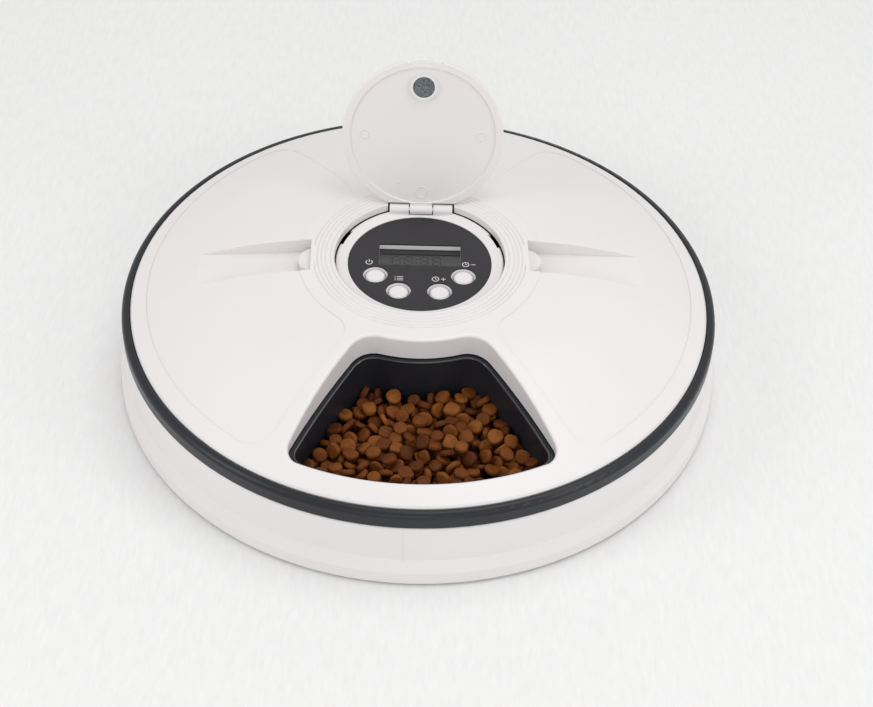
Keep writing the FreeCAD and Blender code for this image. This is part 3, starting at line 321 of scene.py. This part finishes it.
def baked_food():
    """Baked dry food: brown crust that differs from piece to piece, pitted and speckled."""
    made = Nodes("baked_food")
    piece = made.add("ShaderNodeNewGeometry").outputs["Random Per Island"]
    base = made.ramp(piece, [(0.0, (0.095, 0.023, 0.0035)), (0.35, (0.150, 0.040, 0.0055)),
                             (0.7, (0.205, 0.061, 0.009)), (1.0, (0.265, 0.086, 0.015))])
    speckle = made.noise(1300, 4, 0.65)
    crust = made.noise(260, 4, 0.6)
    shaded = made.add("ShaderNodeMixRGB", blend_type="MULTIPLY")
    shaded.inputs["Fac"].default_value = 0.55
    made.link(base, shaded.inputs["Color1"])
    made.link(made.ramp(crust, [(0.3, (0.45, 0.40, 0.36)), (0.65, (1.0, 1.0, 1.0))]),
              shaded.inputs["Color2"])
    spotted = made.add("ShaderNodeMixRGB", blend_type="OVERLAY")
    spotted.inputs["Fac"].default_value = 0.45
    made.link(shaded.outputs["Color"], spotted.inputs["Color1"])
    made.link(speckle, spotted.inputs["Color2"])
    made.link(spotted.outputs["Color"], made.shader.inputs["Base Color"])
    made.link(made.spread(crust, 0.48, 0.72), made.shader.inputs["Roughness"])
    made.bump((speckle, 0.2 * MM, 1.0), (crust, 0.6 * MM, 0.8))
    made.set(IOR=1.45, Specular_IOR_Level=0.22)
    return made.material


def display_film():
    """The display: dark grey, with a painted reflection that lightens it towards its near edge, and a
    fine haze.
    """
    made = Nodes("display_film")
    split = made.add("ShaderNodeSeparateXYZ")
    made.link(made.place(), split.inputs[0])
    low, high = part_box("lcd_display")
    across = made.add("ShaderNodeMapRange")
    across.inputs["From Min"].default_value = low.y
    across.inputs["From Max"].default_value = high.y
    made.link(split.outputs["Y"], across.inputs["Value"])
    # painted reflection: the colour is lightened towards the display's near edge by position, in place
    # of the sheen of light on the glass; the noise adds a fine haze
    sheen_and_haze = made.math("ADD", across.outputs[0],
                      made.math("MULTIPLY", made.noise(220, 3), 0.12))
    made.link(made.ramp(sheen_and_haze, [(0.1, (0.050, 0.050, 0.051)), (0.55, (0.034, 0.036, 0.035)),
                                (0.8, (0.016, 0.019, 0.018)), (1.0, (0.012, 0.014, 0.014))]),
              made.shader.inputs["Base Color"])
    made.link(made.spread(made.noise(90, 2), 0.10, 0.18), made.shader.inputs["Roughness"])
    made.bump((made.noise(60, 2), 0.02 * MM, 0.2))
    made.set(IOR=1.5, Coat_Weight=0.5, Coat_Roughness=0.06)
    return made.material


def rubber():
    """Matte near-black rubber."""
    made = Nodes("rubber")
    made.link(made.ramp(made.noise(900, 3), [(0.3, (0.02, 0.02, 0.02)), (0.7, (0.035, 0.034, 0.033))]),
              made.shader.inputs["Base Color"])
    made.link(made.spread(made.noise(300, 3), 0.65, 0.85), made.shader.inputs["Roughness"])
    made.bump((made.noise(1500, 3), 0.06 * MM, 0.6))
    return made.material


def dress_frame():
    """Give every CAD piece the material of its record slot, and return them by slot."""
    white = white_plastic()
    zinc = metal("zinc", (0.50, 0.50, 0.49), (0.66, 0.66, 0.65), (0.25, 0.4))
    nickel = metal("nickel", (0.60, 0.58, 0.53), (0.72, 0.70, 0.65), (0.15, 0.28))
    steel = metal("motor_steel", (0.42, 0.42, 0.43), (0.55, 0.55, 0.56), (0.25, 0.38),
                  stretch=(1, 1, 12))
    acetal = moulded("acetal", (0.66, 0.65, 0.61), (0.74, 0.73, 0.69))
    grey = moulded("grey_plastic", (0.10, 0.105, 0.11), (0.14, 0.145, 0.15), rough=(0.4, 0.55))
    tray = tray_plastic("tray_plastic", (0.28, 0.38), 0.0)
    by_slot = {"white_shell": white, "dark_tray": tray, "label": panel_print(),
               "rubber": rubber(), "zinc": zinc, "nickel": nickel, "acetal": acetal,
               "cell_jacket": cell_wrap(), "grey_plastic": grey, "motor_steel": steel,
               "board": board_green(), "lcd": display_film(), "magnet": ferrite(),
               "kibble": baked_food()}
    for entry in frame["record"]["subparts"]:
        for material_slot in NODES[entry["node"]].material_slots:
            material_slot.material = by_slot[entry["material_slot"]]
    return by_slot


# ---------------------------------------------------------------- mesh helpers

def new_piece(name, mesh_builder, body, material, smooth=True):
    """A piece from a bmesh, riding on a body and material."""
    data = bpy.data.meshes.new(name)
    mesh_builder.normal_update()
    mesh_builder.to_mesh(data)
    mesh_builder.free()
    for polygon in data.polygons:
        polygon.use_smooth = smooth
    piece = bpy.data.objects.new(name, data)
    bpy.context.scene.collection.objects.link(piece)
    data.materials.append(material)
    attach(piece, body)
    return piece


# ---------------------------------------------------------------- kibble

KIBBLE_RADIUS = 3.9 * MM
KIBBLE_HEIGHT = 3.3 * MM
HEAP_LOW = 27.0
HEAP_HIGH = 43.5
CELL = 0.8
LID_TURN = 1.6
BLOCKED = 99.0
MOST_TRIES = 2600
MOST_PIECES = 700
SPOTS_COMPARED = 14


def kibble_mesh(target, place, spin, rng):
    """Add one rounded, slightly uneven biscuit to a bmesh."""
    rings, spokes = 7, 14
    radius = KIBBLE_RADIUS * rng.uniform(0.88, 1.1)
    half = KIBBLE_HEIGHT / 2 * rng.uniform(0.85, 1.15)
    wobble = [(rng.uniform(0.0, 0.07), rng.uniform(0, math.tau)) for _ in range(3)]
    dent = rng.uniform(0.0, 0.22)
    rows = []
    for ring in range(1, rings):
        tilt = math.pi * ring / rings - math.pi / 2
        row = []
        for spoke in range(spokes):
            angle = math.tau * spoke / spokes
            bulge = 1 + sum(size * math.cos((number + 2) * angle + phase)
                            for number, (size, phase) in enumerate(wobble))
            reach = radius * bulge * abs(math.cos(tilt)) ** 0.30
            height = half * math.copysign(abs(math.sin(tilt)) ** 0.75, tilt)
            if abs(tilt) > 0.9:
                height *= 1 - dent
            row.append(target.verts.new(place + spin @ Vector((
                reach * math.cos(angle), reach * math.sin(angle), height))))
        rows.append(row)
    caps = [target.verts.new(place + spin @ Vector((0, 0, side * half * (1 - dent))))
            for side in (-1, 1)]
    for low, high in zip(rows, rows[1:]):
        for spoke in range(spokes):
            after = (spoke + 1) % spokes
            target.faces.new((low[spoke], low[after], high[after], high[spoke]))
    for spoke in range(spokes):
        after = (spoke + 1) % spokes
        target.faces.new((rows[0][after], rows[0][spoke], caps[0]))
        target.faces.new((rows[-1][spoke], rows[-1][after], caps[1]))


def build_kibble(material):
    """Drop biscuits one by one into the serving compartment; each settles on those below."""
    rng = random.Random(11)
    low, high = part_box("kibble_portion")
    across = np.arange(low.x / MM - 6, high.x / MM + 6, CELL)
    along = np.arange(low.y / MM - 6, high.y / MM + 6, CELL)
    grid_x, grid_y = np.meshgrid(across, along, indexing="ij")
    # the compartment's room, in the lid's own turned axes: between its inner and outer walls
    # and its two sides
    turn = math.radians(LID_TURN)
    turned_x = grid_x * math.cos(turn) + grid_y * math.sin(turn)
    turned_y = grid_y * math.cos(turn) - grid_x * math.sin(turn)
    reach = np.hypot(turned_x, turned_y)
    side = np.abs(turned_x) * math.cos(math.radians(30)) + turned_y * math.sin(math.radians(30))
    room = (reach > 69.0) & (reach < 137.0) & (side < -5.2)
    middle = np.hypot(grid_x, grid_y + 103)
    surface = np.where(room, HEAP_LOW, BLOCKED)
    ceiling = HEAP_HIGH - 0.0022 * middle ** 2
    target = bmesh.new()
    radius, half = KIBBLE_RADIUS / MM, KIBBLE_HEIGHT / MM / 2
    placed = 0
    tries = 0
    while tries < MOST_TRIES and placed < MOST_PIECES:
        tries += 1
        best = None
        for _ in range(SPOTS_COMPARED):
            column = rng.randrange(len(across))
            line = rng.randrange(len(along))
            if not room[column, line]:
                continue
            x, y = across[column], along[line]
            near = (grid_x - x) ** 2 + (grid_y - y) ** 2 < radius ** 2
            if surface[near].max() == BLOCKED:
                continue
            tilt = rng.uniform(0, 1) ** 0.85 * 1.4
            heading = rng.uniform(0, math.tau)
            normal = Vector((math.sin(tilt) * math.cos(heading), math.sin(tilt) * math.sin(heading),
                             math.cos(tilt)))
            rise = half * abs(normal.z) + radius * math.sqrt(max(0.0, 1 - normal.z ** 2)) * 0.75
            level = float(np.percentile(surface[near], 82)) + rise * 0.80
            if best is None or level < best[0]:
                best = (level, x, y, normal, rise, near, column, line)
        if best is None:
            continue
        level, x, y, normal, rise, near, column, line = best
        if level > ceiling[column, line]:
            continue
        spin = normal.to_track_quat("Z", "Y").to_matrix() @ Matrix.Rotation(
            rng.uniform(0, math.tau), 3, "Z")
        kibble_mesh(target, Vector((x, y, level)) * MM, spin, rng)
        distance = np.sqrt((grid_x - x) ** 2 + (grid_y - y) ** 2)
        cap = level + rise * np.sqrt(np.clip(1 - (distance / radius) ** 2, 0, 1)) * 0.9
        surface = np.where(near, np.maximum(surface, cap), surface)
        placed += 1
    heap = new_piece("kibble_heap", target, "tray", material)
    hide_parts("kibble_portion")


# ---------------------------------------------------------------- small mesh shapes

def ribbon(target, points, width, level, closed=False):
    """A flat strip of a given width along points (x, y) at a height, in millimetres."""
    count = len(points)
    sides = []
    for index, (x, y) in enumerate(points):
        before = points[(index - 1) % count] if closed or index else points[0]
        after = points[(index + 1) % count] if closed or index < count - 1 else points[-1]
        way = Vector((after[0] - before[0], after[1] - before[1])).normalized()
        across = Vector((-way.y, way.x)) * width / 2
        sides.append([target.verts.new(Vector((x + sign * across.x, y + sign * across.y,
                                               level)) * MM) for sign in (-1, 1)])
    pairs = list(zip(sides, sides[1:])) + ([(sides[-1], sides[0])] if closed else [])
    for (low_a, low_b), (high_a, high_b) in pairs:
        target.faces.new((low_a, high_a, high_b, low_b))


def circle_points(x, y, radius, first=0.0, last=360.0, count=40):
    steps = count if last - first < 359.9 else count - 1
    return [(x + radius * math.cos(math.radians(first + (last - first) * step / count)),
             y + radius * math.sin(math.radians(first + (last - first) * step / count)))
            for step in range(steps + 1)]


def tube(target, points, radius, sides):
    """A closed round bead along points (Vectors in metres)."""
    rows = []
    for index, point in enumerate(points):
        before = points[index - 1]
        after = points[(index + 1) % len(points)]
        way = (after - before).normalized()
        aside = way.cross(Vector((0, 0, 1))).normalized()
        over = aside.cross(way)
        row = []
        for side in range(sides):
            angle = math.tau * side / sides
            row.append(target.verts.new(
                point + radius * (math.cos(angle) * aside + math.sin(angle) * over)))
        rows.append(row)
    for low, high in zip(rows, rows[1:] + rows[:1]):
        for side in range(sides):
            after = (side + 1) % sides
            target.faces.new((low[side], low[after], high[after], high[side]))


# ---------------------------------------------------------------- tray lips

LIP_RADIUS = 0.8 * MM
LOOP_GAP = 12 * MM


def cup_mouths():
    """The six closed loops of points where the tray's top meets the walls of its compartments."""
    shape = bmesh.new()
    shape.from_mesh(NODES["food_tray"].data)
    bmesh.ops.remove_doubles(shape, verts=shape.verts, dist=0.002 * MM)
    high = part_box("food_tray")[1].z
    mouth = {}
    for edge in shape.edges:
        if len(edge.link_faces) != 2:
            continue
        upness = sorted(abs(face.normal.z) for face in edge.link_faces)
        middle = (edge.verts[0].co + edge.verts[1].co) / 2
        reach = math.hypot(middle.x, middle.y)
        flat_meets_wall = upness[0] < 0.3 and upness[1] > 0.9
        if flat_meets_wall and middle.z > high - 12.4 * MM and 64 * MM < reach < 140.6 * MM:
            for first, second in (edge.verts, reversed(edge.verts)):
                mouth.setdefault(first.index, []).append(second.index)
    places = {vert.index: vert.co.copy() for vert in shape.verts}
    shape.free()
    loops = []
    left = set(mouth)
    while left:
        current = left.pop()
        loop = [current]
        while True:
            onward = [index for index in mouth[current] if index in left]
            if not onward:
                break
            current = onward[0]
            left.discard(current)
            loop.append(current)
        loops.append([places[index] for index in loop])
    return [loop for loop in loops
            if len(loop) > 20 and (loop[0] - loop[-1]).length < LOOP_GAP]


def even_loop(points, step):
    """A closed loop's points respaced to one even step."""
    ring = points + [points[0]]
    lengths = [(after - before).length for before, after in zip(ring, ring[1:])]
    count = max(12, int(sum(lengths) / step))
    spaced = []
    travelled, segment = 0.0, 0
    for number in range(count):
        target = sum(lengths) * number / count
        while travelled + lengths[segment] < target:
            travelled += lengths[segment]
            segment += 1
        share = (target - travelled) / max(lengths[segment], 1e-9)
        spaced.append(ring[segment].lerp(ring[segment + 1], share))
    return spaced


def build_lips():
    """The rounded lip round the mouth of each compartment."""
    target = bmesh.new()
    loops = cup_mouths()
    for loop in loops:
        points = even_loop(loop, 1.2 * MM)
        centre = sum(points, Vector()) / len(points)
        sunk = []
        for index, point in enumerate(points):
            way = points[(index + 1) % len(points)] - points[index - 1]
            aside = way.cross(Vector((0, 0, 1))).normalized()
            if aside.dot(point - centre) < 0:
                aside.negate()
            sunk.append(point + aside * LIP_RADIUS * 0.62 - Vector((0, 0, LIP_RADIUS * 0.72)))
        tube(target, sunk, LIP_RADIUS, sides=12)
    new_piece("compartment_lips", target, "tray",
              tray_plastic("lip_plastic", (0.07, 0.11), 0.8))


# ---------------------------------------------------------------- panel marks and display

def button_centre(name):
    """The middle of a button in millimetres."""
    low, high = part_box("button_" + name)
    return (low.x + high.x) / 2 / MM, (low.y + high.y) / 2 / MM


def build_panel_marks():
    """Plain white icons printed above the buttons: power, list, clock with plus, with minus."""
    ink = Nodes("panel_ink")
    ink.link(ink.ramp(ink.noise(1800, 2), [(0.3, (0.62, 0.62, 0.62)), (0.7, (0.74, 0.74, 0.73))]),
             ink.shader.inputs["Base Color"])
    ink.link(ink.spread(ink.noise(300, 2), 0.45, 0.6), ink.shader.inputs["Roughness"])
    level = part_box("panel_label")[1].z / MM + 0.03
    line = 0.42
    target = bmesh.new()

    def clock(x, y):
        ribbon(target, circle_points(x, y, 1.7), line, level, closed=True)
        ribbon(target, [(x, y + 1.0), (x, y)], line, level)
        ribbon(target, [(x, y), (x + 0.8, y - 0.2)], line, level)

    x, y = button_centre("on_off")
    x, y = x - 3.6, y + 9.6
    ribbon(target, circle_points(x, y, 1.7, 125, 415), line, level)
    ribbon(target, [(x, y + 2.2), (x, y + 0.2)], line, level)
    x, y = button_centre("set")
    y += 9.4
    for row in (-1.3, 0.0, 1.3):
        ribbon(target, [(x - 1.0, y + row), (x + 2.2, y + row)], line, level)
        ribbon(target, [(x - 2.3, y + row), (x - 1.7, y + row)], line, level)
    for name, shift, upright in (("time_up", 0.0, True), ("time_down", 3.4, False)):
        x, y = button_centre(name)
        x, y = x + shift - 2.2, y + 9.4
        clock(x, y)
        ribbon(target, [(x + 2.9, y), (x + 5.3, y)], line, level)
        if upright:
            ribbon(target, [(x + 4.1, y + 1.2), (x + 4.1, y - 1.2)], line, level)
    new_piece("panel_icons", target, "base", ink.material, smooth=False)


def build_display():
    """The unlit display's ghost digits: four seven-segment figures and a colon, just visible."""
    ghost = Nodes("display_ghost")
    ghost.link(ghost.ramp(ghost.noise(900, 2), [(0.3, (0.012, 0.017, 0.015)),
                                                (0.7, (0.022, 0.028, 0.026))]),
               ghost.shader.inputs["Base Color"])
    ghost.link(ghost.spread(ghost.noise(200, 2), 0.12, 0.2), ghost.shader.inputs["Roughness"])
    low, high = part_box("lcd_display")
    level = high.z / MM + 0.02
    middle_y = (low.y + high.y) / 2 / MM - 0.6
    half, reach, line = 2.0, 3.3, 0.7
    target = bmesh.new()
    for centre in (-12.5, -6.0, 2.5, 9.0):
        for y in (-reach, 0, reach):
            ribbon(target, [(centre - half + 0.5, middle_y + y), (centre + half - 0.5, middle_y + y)],
                   line, level)
        for x in (-half, half):
            for start in (0.5, -reach + 0.5):
                ribbon(target, [(centre + x, middle_y + start),
                                (centre + x, middle_y + start + reach - 1.0)], line, level)
    for y in (-1.4, 1.4):
        ribbon(target, [(-2.1, middle_y + y), (-1.4, middle_y + y)], line, level)
    new_piece("display_digits", target, "base", ghost.material, smooth=False)


# ---------------------------------------------------------------- cover marks and mould seam

COVER_FACE = 70.8
MARK_STEPS = 32
SEAM_X = -4.6
SEAM_LOW = 14.5
SEAM_HIGH = 37.2
SEAM_ROWS = 16


def build_cover_marks(material):
    """Ejector marks on the cover's inner face, placed closed and turned open with the hinge."""
    hinge = next(joint for joint in frame["record"]["behaviour"]["joints"]
                 if joint["name"] == "cover_hinge")
    pivot = Vector(hinge["pos_m"])
    turn = Matrix.Rotation(-math.radians(max(hinge["range_deg"])), 3, "X")
    target = bmesh.new()

    def ring_mark(x, y, radius, height, breadth):
        """A low ring standing off the face, drawn as a lathe of a small bump."""
        profile = [(radius - breadth, 0.02), (radius - breadth * 0.4, -height),
                   (radius + breadth * 0.4, -height), (radius + breadth, 0.02)]
        rows = []
        for reach, drop in profile:
            rows.append([target.verts.new(pivot + turn @ (Vector((
                x + reach * math.cos(angle), y + reach * math.sin(angle), COVER_FACE + drop)) * MM
                - pivot)) for angle in (math.tau * step / MARK_STEPS for step in range(MARK_STEPS))])
        for low, high in zip(rows, rows[1:]):
            for step in range(MARK_STEPS):
                after = (step + 1) % MARK_STEPS
                target.faces.new((low[step], low[after], high[after], high[step]))

    for x, y, radius in ((-31.0, -2.0, 2.4), (31.0, -2.0, 2.4), (0.0, 31.5, 3.2)):
        ring_mark(x, y, radius, 0.22, 0.45)
    ring_mark(-12.5, 26.0, 0.5, 0.3, 0.3)
    new_piece("cover_marks", target, "cover", material)


def build_seam(material):
    """The parting line of the mould: a fine rib down the front of the base wall."""
    base = NODES["base_shell"]
    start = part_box("base_shell")[0].y - 0.1
    profile = ((-0.28, 0.05), (-0.14, -0.16), (0.14, -0.16), (0.28, 0.05))
    target = bmesh.new()
    rows = []
    for step in range(SEAM_ROWS):
        z = SEAM_LOW * MM + (SEAM_HIGH - SEAM_LOW) * MM * step / (SEAM_ROWS - 1)
        hit = base.ray_cast(Vector((SEAM_X * MM, start, z)), Vector((0, 1, 0)))
        if not hit[0]:
            continue
        rows.append([target.verts.new(hit[1] + Vector((x * MM, y * MM, 0))) for x, y in profile])
    for lower, upper in zip(rows, rows[1:]):
        for side in range(len(profile) - 1):
            target.faces.new((lower[side], lower[side + 1], upper[side + 1], upper[side]))
    new_piece("base_seam", target, "base", material)


def build_floor():
    """A plain pale floor with a faint vertical grain."""
    shape = bmesh.new()
    bmesh.ops.create_grid(shape, x_segments=1, y_segments=1, size=40)
    data = bpy.data.meshes.new("floor")
    shape.to_mesh(data)
    shape.free()
    floor = bpy.data.objects.new("floor", data)
    bpy.context.scene.collection.objects.link(floor)
    look = Nodes("floor_look")
    mapping = look.add("ShaderNodeMapping")
    mapping.inputs["Scale"].default_value = (1, 0.2, 1)
    look.link(look.place(), mapping.inputs["Vector"])
    grain = look.noise(420, 3, 0.6, source=mapping.outputs[0])
    look.link(look.ramp(grain, [(0.3, (0.81, 0.81, 0.81)), (0.7, (0.86, 0.86, 0.86))]),
              look.shader.inputs["Base Color"])
    look.bump((grain, 0.25 * MM, 0.3))
    look.set(Roughness=0.8)
    data.materials.append(look.material)


# ---------------------------------------------------------------- build

make_camera()
make_light()
build_floor()
materials = dress_frame()
build_kibble(materials["kibble"])
build_lips()
build_panel_marks()
build_display()
build_cover_marks(materials["white_shell"])
build_seam(materials["white_shell"])
